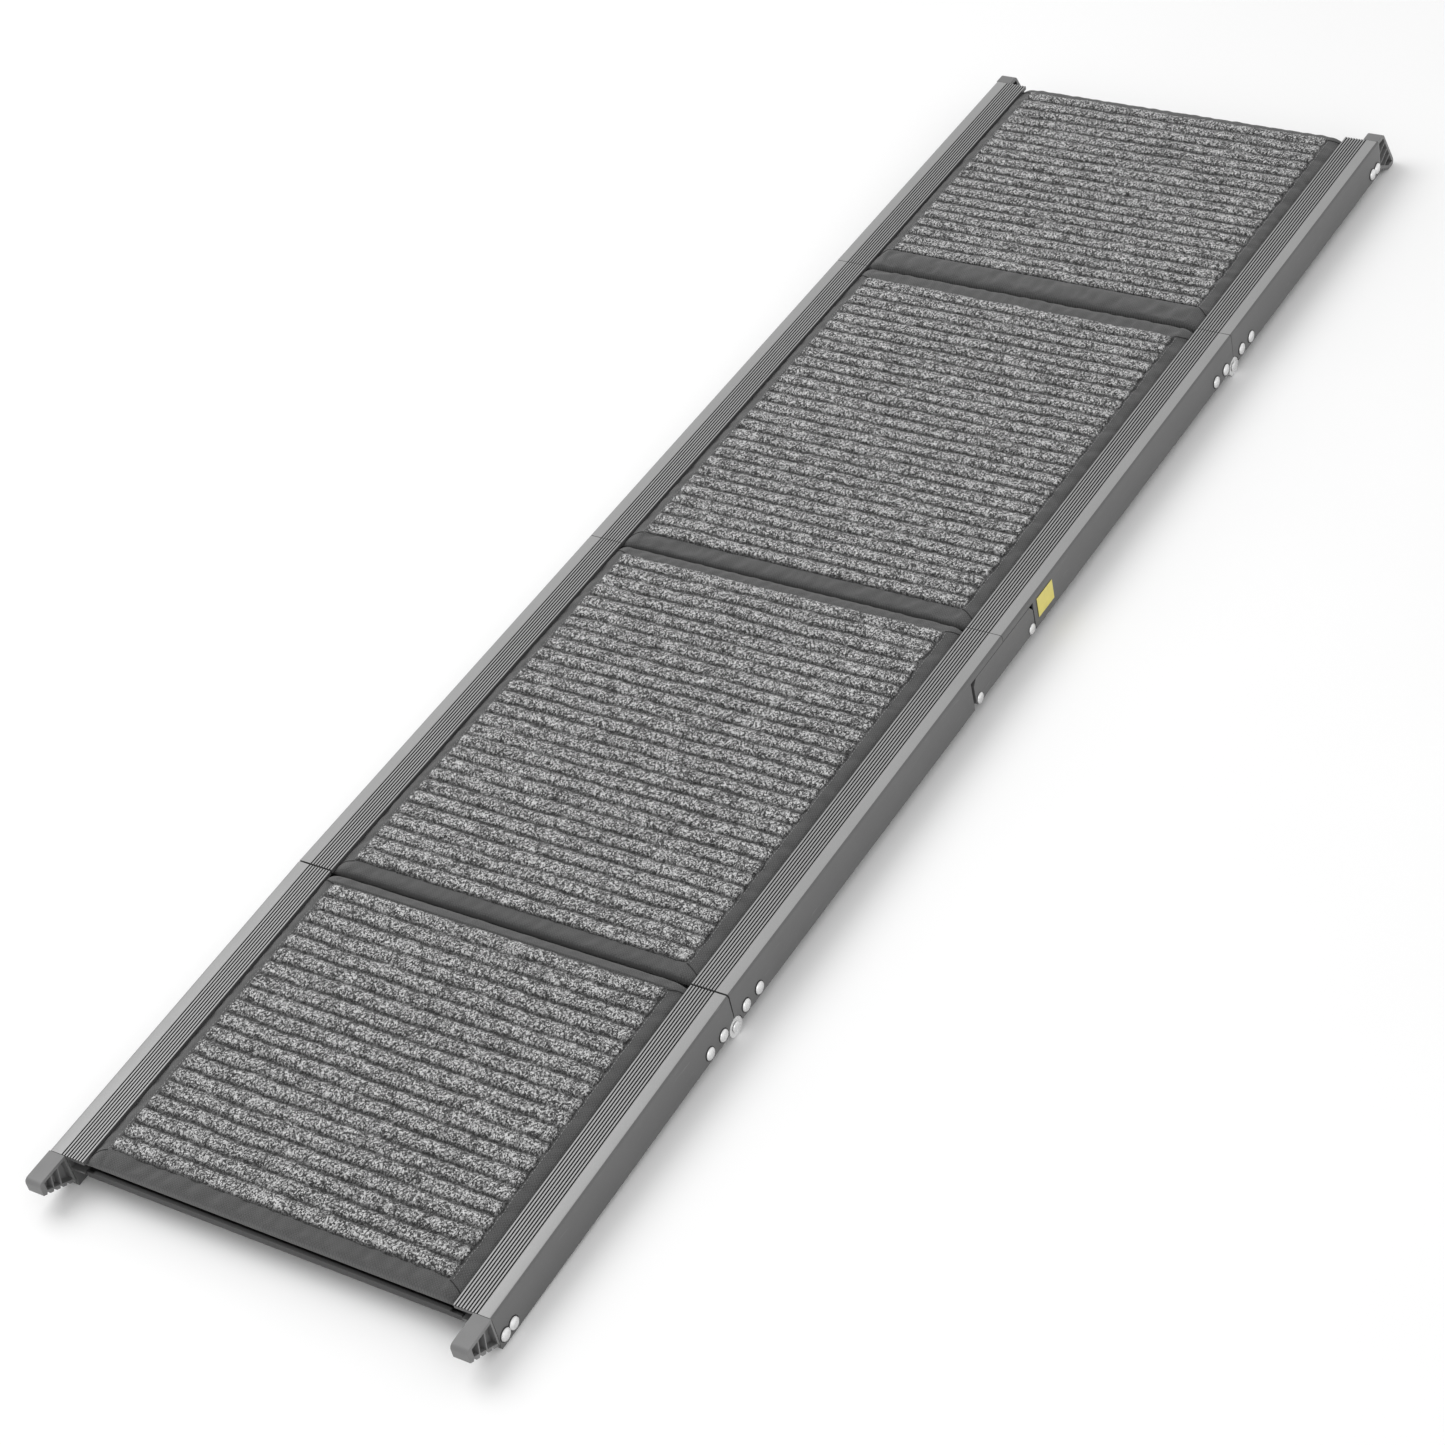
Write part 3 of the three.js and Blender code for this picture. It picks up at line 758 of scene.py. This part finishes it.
def cover_mesh(layout, step, raised_hem):
    """A closed mat: a crowned top on a flat underside."""
    bm = bmesh.new()
    long, half = layout["x1"] - layout["x0"], layout["edge"]
    across = round(2 * half / step)
    bmesh.ops.create_grid(bm, x_segments=round(long / step), y_segments=across, size=0.5)
    bmesh.ops.scale(bm, vec=(long, 2 * half, 1), verts=bm.verts)
    bmesh.ops.translate(bm, vec=((layout["x0"] + layout["x1"]) / 2, 0, 0), verts=bm.verts)
    cuts = [(layout["x0"] + 0.7 * MM, 0), (layout["x0"] + 2 * MM, 0), (layout["x1"] - 0.7 * MM, 0)]
    cuts += [(layout["x1"] - 2 * MM, 0), (layout["pile_x0"] - 0.9 * MM, 0), (layout["pile_x0"] - 0.1 * MM, 0)]
    cuts += [(sign * layout["pile_edge"], 1) for sign in (-1, 1)]
    cuts += [(sign * layout["rail"], 1) for sign in (-1, 1)]
    for place, axis in cuts:
        spot = (place, 0, 0) if axis == 0 else (0, place, 0)
        normal = (1, 0, 0) if axis == 0 else (0, 1, 0)
        geometry = [*bm.verts, *bm.edges, *bm.faces]
        bmesh.ops.bisect_plane(bm, geom=geometry, dist=0.05 * MM, plane_co=spot, plane_no=normal)
    grown = bmesh.ops.extrude_face_region(bm, geom=bm.faces[:])["geom"]
    lifted = {g for g in grown if isinstance(g, bmesh.types.BMVert)}
    for vert in bm.verts:
        if vert in lifted:
            height = cover_height(layout, vert.co.x, vert.co.y, raised_hem)
            vert.co.z = max(layout["bottom"] + 2 * MM, height)
        else:
            vert.co.z = layout["bottom"]
    return bm


def swell(piece, held, limit, frames=20):
    """Fills a cover by cloth simulation. Points in held stay, and no other moves more than limit."""
    group = piece.vertex_groups.new(name="held")
    group.add(held, 1.0, "REPLACE")
    rest = [v.co.copy() for v in piece.data.vertices]
    cloth = piece.modifiers.new("Cloth", "CLOTH")
    settings = cloth.settings
    settings.quality = 4
    settings.mass = 0.3
    settings.use_pressure = True
    settings.uniform_pressure_force = 4.0
    settings.vertex_group_mass = group.name
    settings.shrink_min = -0.05
    settings.bending_stiffness = 0.4
    settings.effector_weights.gravity = 0.0
    cloth.collision_settings.use_collision = False
    cloth.point_cache.frame_end = frames
    scene = bpy.context.scene
    for number in range(1, frames + 1):
        scene.frame_set(number)
    graph = bpy.context.evaluated_depsgraph_get()
    settled = [v.co.copy() for v in piece.evaluated_get(graph).data.vertices]
    piece.modifiers.remove(cloth)
    piece.vertex_groups.remove(group)
    for vert, start, end in zip(piece.data.vertices, rest, settled):
        move = end - start
        if move.length > limit:
            move *= limit / move.length
        vert.co = start + move
    scene.frame_set(1)


def subdivide_once(piece):
    finer = piece.modifiers.new("Finer", "SUBSURF")
    finer.levels = 1
    finer.render_levels = 1
    finer.boundary_smooth = "PRESERVE_CORNERS"


class RAMP_OT_mats(bpy.types.Operator):
    """Padded mats in woven covers, filled by cloth simulation"""

    bl_idname = "ramp.mats"
    bl_label = "Padded Mats"

    def execute(self, context):
        sizes = context.scene.ramp_sizes
        for number in SECTIONS:
            layout = mat_layout(number)
            bm = cover_mesh(layout, sizes.cover_step, raised_hem=number in (1, 4))
            inverse = section_matrix(number).inverted()
            piece = finish_piece(
                bm,
                f"mat_cover_{number}",
                number,
                section_body(number),
                woven_fabric(),
                [f"mat_pad_{number}"],
            )
            held = []
            for vert in piece.data.vertices:
                spot = inverse @ vert.co
                under_pile = (
                    abs(spot.y) < layout["pile_edge"] - 1 * MM
                    and layout["pile_x0"] - 1 * MM < spot.x < layout["pile_x1"] + 1 * MM
                )
                under_lip = abs(spot.y) > layout["rail"] - 0.5 * MM
                ends = spot.x < layout["x0"] + 1 * MM or spot.x > layout["x1"] - 1 * MM
                if under_pile or under_lip or ends or spot.z < layout["bottom"] + 1 * MM:
                    held.append(vert.index)
            swell(piece, held, sizes.puff)
            for polygon in piece.data.polygons:
                polygon.use_smooth = True
            subdivide_once(piece)
        return {"FINISHED"}


def row_profile(layout, sizes, x, y, seed):
    """Height of the pile from 0 in a valley to 1 on a crest. The valleys wander and fade in and out."""
    long = layout["pile_x1"] - layout["pile_x0"]
    rows = round(long / sizes.row_pitch)
    pitch = long / rows
    drift = noise.noise(Vector((y * 22, x * 30, seed))) * 1.5 * MM
    drift += noise.noise(Vector((y * 140, x * 90, seed + 7))) * 1.1 * MM
    phase = ((x - layout["pile_x0"] + drift) / pitch) % 1.0
    reach = min(phase, 1 - phase) * 2
    crest = 1 - (1 - reach) ** 2.3
    fade = 0.95 + 0.45 * noise.noise(Vector((y * 38, round((x - layout["pile_x0"]) / pitch) * 5.1, seed + 3)))
    return 1 - (1 - crest) * clamp(fade)


class RAMP_OT_carpets(bpy.types.Operator):
    """Looped carpet in rows on each mat"""

    bl_idname = "ramp.carpets"
    bl_label = "Carpets"

    def execute(self, context):
        sizes = context.scene.ramp_sizes
        for number in SECTIONS:
            self.build(sizes, number)
        return {"FINISHED"}

    def build(self, sizes, number):
        layout = mat_layout(number)
        long = layout["pile_x1"] - layout["pile_x0"]
        half = layout["pile_edge"]
        middle = (layout["pile_x0"] + layout["pile_x1"]) / 2
        floor = layout["top"] + 0.15 * MM
        bm = bmesh.new()
        across = round(2 * half / (sizes.pile_step * 1.15))
        bmesh.ops.create_grid(bm, x_segments=round(long / sizes.pile_step), y_segments=across, size=0.5)
        bmesh.ops.scale(bm, vec=(long, 2 * half, 1), verts=bm.verts)
        bmesh.ops.translate(bm, vec=(middle, 0, 0), verts=bm.verts)
        pile_shade_layer = bm.verts.layers.float.new("painted_pile_shade")
        for vert in bm.verts:
            x, y = vert.co.x, vert.co.y
            row = row_profile(layout, sizes, x, y, number * 11.3)
            end_gap = min(x - layout["pile_x0"], layout["pile_x1"] - x)
            side_gap = half - abs(y)
            rim = math.sqrt(clamp(1 - (1 - clamp(side_gap / (2.6 * MM))) ** 2))
            rim *= math.sqrt(clamp(1 - (1 - clamp(end_gap / (2.0 * MM))) ** 2))
            tuft = noise.noise(Vector((x * 420, y * 420, number)))
            lump = noise.noise(Vector((x * 130, y * 130, number + 5)))
            crown = layout["pile_top"] + 0.2 * MM
            height = crown - sizes.row_depth * (1 - row) + (0.42 * tuft + 0.3 * lump) * MM
            vert.co.z = floor + (height - floor) * rim
            # Painted shade, read by the carpet material: low in the valleys between rows and lower towards
            # the rim.
            vert[pile_shade_layer] = row * (0.35 + 0.65 * rim)
            if side_gap < 6 * MM:
                pull = 1 - side_gap / (6 * MM)
                vert.co.y += math.copysign((1.5 * row - 0.7 + 0.5 * tuft) * MM * pull, y)
            if end_gap < 4 * MM:
                pull = 1 - end_gap / (4 * MM)
                wander = noise.noise(Vector((y * 90, number, 2.5)))
                wander += 0.6 * noise.noise(Vector((y * 300, number, 4)))
                vert.co.x += math.copysign(0.9 * MM * wander * pull, x - middle)
        rim_edges = [e for e in bm.edges if e.is_boundary]
        skirt = bmesh.ops.extrude_edge_only(bm, edges=rim_edges)["geom"]
        for vert in (g for g in skirt if isinstance(g, bmesh.types.BMVert)):
            vert.co.z = floor - 0.1 * MM
        bmesh.ops.contextual_create(bm, geom=[g for g in skirt if isinstance(g, bmesh.types.BMEdge)])
        piece = finish_piece(
            bm,
            f"carpet_pile_{number}",
            number,
            section_body(number),
            carpet_pile(),
            [f"carpet_{number}"],
        )
        for polygon in piece.data.polygons:
            polygon.use_smooth = True


def surface_tree(piece):
    graph = bpy.context.evaluated_depsgraph_get()
    return BVHTree.FromObject(piece, graph)


def on_surface(tree, matrix, x, y, lift):
    """A point of a section's frame dropped on to a cover, and lifted off it a little."""
    above = matrix @ Vector((x, y, WELL_ABOVE))
    hit = tree.ray_cast(above, Vector((0, 0, -1)))
    if hit[0] is None:
        raise RuntimeError("a seam runs off its cover")
    return hit[0] + hit[1] * lift


class RAMP_OT_seams(bpy.types.Operator):
    """Mitred corner seams and the stitching beside each carpet"""

    bl_idname = "ramp.seams"
    bl_label = "Seams and Stitching"

    def execute(self, context):
        sizes = context.scene.ramp_sizes
        for number in SECTIONS:
            cover = bpy.data.objects[f"mat_cover_{number}"]
            tree = surface_tree(cover)
            layout = mat_layout(number)
            matrix = section_matrix(number)
            self.mitres(number, tree, layout, matrix)
            self.stitching(number, tree, layout, matrix, sizes)
        return {"FINISHED"}

    def mitres(self, number, tree, layout, matrix):
        bm = bmesh.new()
        inner = (layout["pile_x0"], layout["x0"] + 5 * MM)
        outer = (layout["pile_x1"], layout["x1"] - 5 * MM)
        for x_from, x_to in (inner, outer):
            for side in (-1, 1):
                outward = math.copysign(1, x_to - x_from)
                start = Vector((x_from + outward * 0.4 * MM, side * (layout["pile_edge"] + 0.5 * MM)))
                bend = Vector((x_from + outward * 0.8 * MM, side * (layout["pile_edge"] + 3.5 * MM)))
                reach = min(7 * MM, abs(x_to - x_from))
                end = Vector((x_from + outward * reach, side * (layout["rail"] + 1.5 * MM)))
                line = []
                for i in range(13):
                    t = i / 12
                    spot = start * (1 - t) ** 2 + bend * 2 * t * (1 - t) + end * t * t
                    line.append(on_surface(tree, matrix, spot.x, spot.y, 0.05 * MM))
                tube(bm, line, 0.5 * MM, 6)
        # Partly painted shade: the mitre seams are real, and their near-black cord stands in for the shade of
        # a seam's groove.
        cord = thread_material("Seam Cord", 0.012)
        body = section_body(number)
        piece = finish_piece(bm, f"mitre_seam_{number}", None, body, cord)
        shade_smooth(piece, math.radians(60))

    def stitching(self, number, tree, layout, matrix, sizes):
        bm = bmesh.new()
        first, last = layout["pile_x0"] + 2 * MM, layout["pile_x1"] - 2 * MM
        steps = 60
        for side in (-1, 1):
            y = side * (layout["pile_edge"] + 1.9 * MM)
            places = [first + (last - first) * i / steps for i in range(steps + 1)]
            line = [on_surface(tree, matrix, x, y, 0.12 * MM) for x in places]
            stitches(bm, line, sizes.stitch_pitch, sizes.stitch_pitch * 0.72, 0.32 * MM)
        thread = thread_material("Pale Thread", 0.3)
        body = section_body(number)
        piece = finish_piece(bm, f"side_stitching_{number}", None, body, thread)
        shade_smooth(piece, math.radians(60))


# ---------------------------------------------------------------- metalwork and plastic


class RAMP_OT_rails(bpy.types.Operator):
    """Side rails with eased edges and a drawn, coated finish, with painted light on their tops and painted
    shade in their grooves
    """

    bl_idname = "ramp.rails"
    bl_label = "Side Rails"

    def execute(self, context):
        width = context.scene.ramp_sizes.eased_edge
        for number in SECTIONS:
            for side in SIDES:
                rail = f"rail_{number}_{side}"
                refine(rail, f"side_{rail}", width, rail_material(), 2, number)
        return {"FINISHED"}


class RAMP_OT_feet(bpy.types.Operator):
    """Moulded feet and the screws that hold them"""

    bl_idname = "ramp.feet"
    bl_label = "Feet"

    def execute(self, context):
        plastic = moulded_plastic("Foot Plastic", context.scene.ramp_colours.foot_tone, 0.45)
        for number in (1, 4):
            for side in SIDES:
                foot = f"foot_{number}_{side}"
                refine(foot, f"moulded_foot_{number}_{side}", 0.45 * MM, plastic, 3)
                for i in (1, 2):
                    screw = f"foot_screw_{number}_{side}_{i}"
                    name = f"round_screw_{number}_{side}_{i}"
                    refine(screw, name, 0.1 * MM, steel_material())
                    # A dark ring of painted shade round each screw head.
                    head_shade_ring(screw, f"screw_washer_{number}_{side}_{i}")
        return {"FINISHED"}


def head_shade_ring(node, name):
    """A thin dark ring of painted shade round the widest part of a head that faces sideways."""
    low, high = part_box(node)
    outer = 1 if high.y > 0 else -1
    centre = Vector(((low.x + high.x) / 2, 0, (low.z + high.z) / 2))
    radius = (high.z - low.z) / 2
    rail_face = CAD_FACE * outer
    shade_ring(name, centre.x, centre.z, rail_face, outer, radius, frame["nodes"][node]["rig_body"])


def shade_ring(name, x, z, face, outer, radius, body):
    bm = bmesh.new()
    steps = 40
    inside = radius - 0.9 * MM
    profile = [(inside, 0.02), (radius + 0.75 * MM, 0.02), (radius + 0.6 * MM, 0.5), (inside, 0.5)]
    verts = [bm.verts.new((x + r, face + outer * h * MM, z)) for r, h in profile]
    edges = [bm.edges.new((verts[i - 1], verts[i])) for i in range(len(verts))]
    bmesh.ops.spin(
        bm,
        geom=[*verts, *edges],
        cent=(x, face, z),
        axis=(0, 1, 0),
        angle=2 * math.pi,
        steps=steps,
        use_merge=True,
    )
    # Painted shade: a near-black ring stands in for the shadow round the head.
    dark = moulded_plastic("Dark Washer", 0.012, 0.5)
    piece = finish_piece(bm, name, None, body, dark)
    shade_smooth(piece, math.radians(35))


class RAMP_OT_hinges(bpy.types.Operator):
    """Outer hinges: leaves with barrels and rivets, and their pins"""

    bl_idname = "ramp.hinges"
    bl_label = "Outer Hinges"

    def execute(self, context):
        for fixed, moving in ((2, 1), (3, 4)):
            for side in SIDES:
                leaves = ((f"fixed_leaf_{fixed}_{side}", fixed), (f"moving_leaf_{moving}_{side}", moving))
                for node, number in leaves:
                    refine(node, f"riveted_{node}", 0.15 * MM, steel_material())
                    self.shade_rings(node, number, side)
                pin = f"hinge_pin_{fixed}_{side}"
                refine(pin, f"headed_{pin}", 0.15 * MM, steel_material())
        return {"FINISHED"}

    def shade_rings(self, node, number, side):
        """Dark rings of painted shade under a leaf's two rivet heads, found from the points outside the
        rail's face.
        """
        outer = 1 if side == "left" else -1
        inverse = section_matrix(number).inverted()
        length = local_box(f"rail_{number}_{side}", number)[1].x
        points = [inverse @ v.co for v in frame["nodes"][node].data.vertices]
        heads = [p for p in points if abs(p.y) > CAD_FACE + 0.1 * MM]
        middle = (min(p.x for p in heads) + max(p.x for p in heads)) / 2
        for i, wanted in enumerate((lambda p: p.x < middle, lambda p: p.x >= middle)):
            group = [p for p in heads if wanted(p)]
            x = (min(p.x for p in group) + max(p.x for p in group)) / 2
            z = (min(p.z for p in group) + max(p.z for p in group)) / 2
            radius = (max(p.z for p in group) - min(p.z for p in group)) / 2
            if not 0 < x < length:
                raise RuntimeError(f"the rivets of {node} weren't found")
            spot = section_matrix(number) @ Vector((x, 0, z))
            name = f"rivet_washer_{number}_{side}_{i + 1}"
            shade_ring(name, spot.x, spot.z, CAD_FACE * outer, outer, radius, section_body(number))


class RAMP_OT_links(bpy.types.Operator):
    """Middle links and their pivot pins"""

    bl_idname = "ramp.links"
    bl_label = "Middle Links"

    def execute(self, context):
        for side in SIDES:
            paint = coated_metal("Link Paint", context.scene.ramp_colours.rail_tone, 0.45, 0.2, 0.4)
            refine(f"link_{side}", f"link_plate_{side}", 0.35 * MM, paint, 3)
            for number in (2, 3):
                pin = f"pivot_pin_{number}_{side}"
                refine(pin, f"headed_{pin}", 0.15 * MM, steel_material())
        return {"FINISHED"}


class RAMP_OT_deck(bpy.types.Operator):
    """Deck boards and cross bars"""

    bl_idname = "ramp.deck"
    bl_label = "Deck Boards and Bars"

    def execute(self, context):
        bar = coated_metal("Bar Aluminium", context.scene.ramp_colours.bar_tone, 0.5, 0.3, 0.12)
        for number in SECTIONS:
            board = f"deck_board_{number}"
            refine(board, f"pressed_board_{number}", 0.5 * MM, board_material())
            for end in ("inner", "outer"):
                node = f"cross_bar_{number}_{end}"
                refine(node, f"drawn_{node}", 0.25 * MM, bar)
        return {"FINISHED"}


class RAMP_OT_label(bpy.types.Operator):
    """A plain label on one side"""

    bl_idname = "ramp.label"
    bl_label = "Side Label"

    def execute(self, context):
        refine("side_label", "plain_label", 0.08 * MM, label_material())
        return {"FINISHED"}


# ---------------------------------------------------------------- stage


class RampStage(bpy.types.PropertyGroup):
    """Camera and light."""

    camera_place: bpy.props.FloatVectorProperty(
        name="Camera Place",
        description="Where the camera stands",
        default=(-1.9108, -1.4897, 1.9459),
        subtype="TRANSLATION",
        unit="LENGTH",
    )
    camera_turn: bpy.props.FloatVectorProperty(
        name="Camera Turn",
        description="The camera's rotation about X, Y and Z",
        default=(0.858131, 0.175149, -1.023547),
        subtype="EULER",
        unit="ROTATION",
    )
    lens: bpy.props.FloatProperty(
        name="Lens", description="Focal length on a 36 mm sensor, in millimetres", default=88.42
    )
    key_power: bpy.props.FloatProperty(
        name="Key Power", description="Power of the large overhead light, in watts", default=34.0
    )
    fill_power: bpy.props.FloatProperty(
        name="Fill Power", description="Power of the light beside the camera, in watts", default=9.0
    )
    sky_strength: bpy.props.FloatProperty(
        name="Sky Strength", description="Strength of the even light from all round", default=0.8
    )


def area_light(name, place, target, size, power):
    data = bpy.data.lights.new(name, "AREA")
    data.shape = "DISK"
    data.size = size
    data.energy = power
    light = bpy.data.objects.new(name, data)
    light.location = place
    light.rotation_euler = (Vector(target) - Vector(place)).to_track_quat("-Z", "Y").to_euler()
    bpy.context.scene.collection.objects.link(light)


class RAMP_OT_stage(bpy.types.Operator):
    """Camera, soft lights and a plain pale floor"""

    bl_idname = "ramp.stage"
    bl_label = "Stage"

    def execute(self, context):
        scene = context.scene
        stage = scene.ramp_stage
        data = bpy.data.cameras.new("Camera")
        data.sensor_width = 36
        data.lens = stage.lens
        data.clip_start = 0.05
        data.clip_end = 60
        camera = bpy.data.objects.new("Camera", data)
        camera.location = stage.camera_place
        camera.rotation_euler = stage.camera_turn
        scene.collection.objects.link(camera)
        scene.camera = camera
        area_light("Key Light", (-0.3, 1.5, 2.4), (0, 0, 0), 2.2, stage.key_power)
        area_light("Fill Light", (-1.6, -2.2, 1.3), (0, 0, 0), 1.6, stage.fill_power)
        world = bpy.data.worlds.new("Soft Sky")
        world.use_nodes = True
        sky = world.node_tree.nodes["Background"]
        sky.inputs["Color"].default_value = (1, 1, 1, 1)
        sky.inputs["Strength"].default_value = stage.sky_strength
        scene.world = world
        scene.view_settings.view_transform = "Standard"
        self.floor(scene)
        return {"FINISHED"}

    def floor(self, scene):
        bm = bmesh.new()
        bmesh.ops.create_grid(bm, x_segments=1, y_segments=1, size=12)
        bmesh.ops.translate(bm, vec=(0, 0, -0.0005), verts=bm.verts)
        mesh = bpy.data.meshes.new("floor")
        bm.to_mesh(mesh)
        bm.free()
        material, tree, shader, place = new_material("Pale Floor")
        grain = use_group(tree, grain_group(), {"Vector": place, "Grain Scale": 90.0, "Mottle Scale": 3.0})
        base = mix_colours(tree, grain["Mottle"], grey(0.9), grey(0.93))
        tree.links.new(base, shader.inputs["Base Color"])
        shader.inputs["Roughness"].default_value = 0.9
        mesh.materials.append(material)
        floor = bpy.data.objects.new("floor", mesh)
        scene.collection.objects.link(floor)


OPERATORS = (
    RAMP_OT_stage,
    RAMP_OT_mats,
    RAMP_OT_carpets,
    RAMP_OT_seams,
    RAMP_OT_rails,
    RAMP_OT_feet,
    RAMP_OT_hinges,
    RAMP_OT_links,
    RAMP_OT_deck,
    RAMP_OT_label,
)


class RAMP_PT_panel(bpy.types.Panel):
    """The ramp's steps and settings"""

    bl_idname = "RAMP_PT_panel"
    bl_label = "Dog Ramp"
    bl_space_type = "VIEW_3D"
    bl_region_type = "UI"
    bl_category = "Dog Ramp"

    def draw(self, context):
        for settings in (context.scene.ramp_sizes, context.scene.ramp_colours, context.scene.ramp_stage):
            column = self.layout.column(align=True)
            for name in settings.__annotations__:
                column.prop(settings, name)
        for operator in OPERATORS:
            self.layout.operator(operator.bl_idname)


CLASSES = (RampSizes, RampColours, RampStage, *OPERATORS, RAMP_PT_panel)


def register():
    for item in CLASSES:
        bpy.utils.register_class(item)
    bpy.types.Scene.ramp_sizes = bpy.props.PointerProperty(type=RampSizes)
    bpy.types.Scene.ramp_colours = bpy.props.PointerProperty(type=RampColours)
    bpy.types.Scene.ramp_stage = bpy.props.PointerProperty(type=RampStage)


def unregister():
    del bpy.types.Scene.ramp_stage
    del bpy.types.Scene.ramp_colours
    del bpy.types.Scene.ramp_sizes
    for item in reversed(CLASSES):
        bpy.utils.unregister_class(item)


def main():
    register()
    for operator in OPERATORS:
        step = operator.bl_idname.split(".")[1]
        getattr(bpy.ops.ramp, step)()


if __name__ == "__main__":
    main()
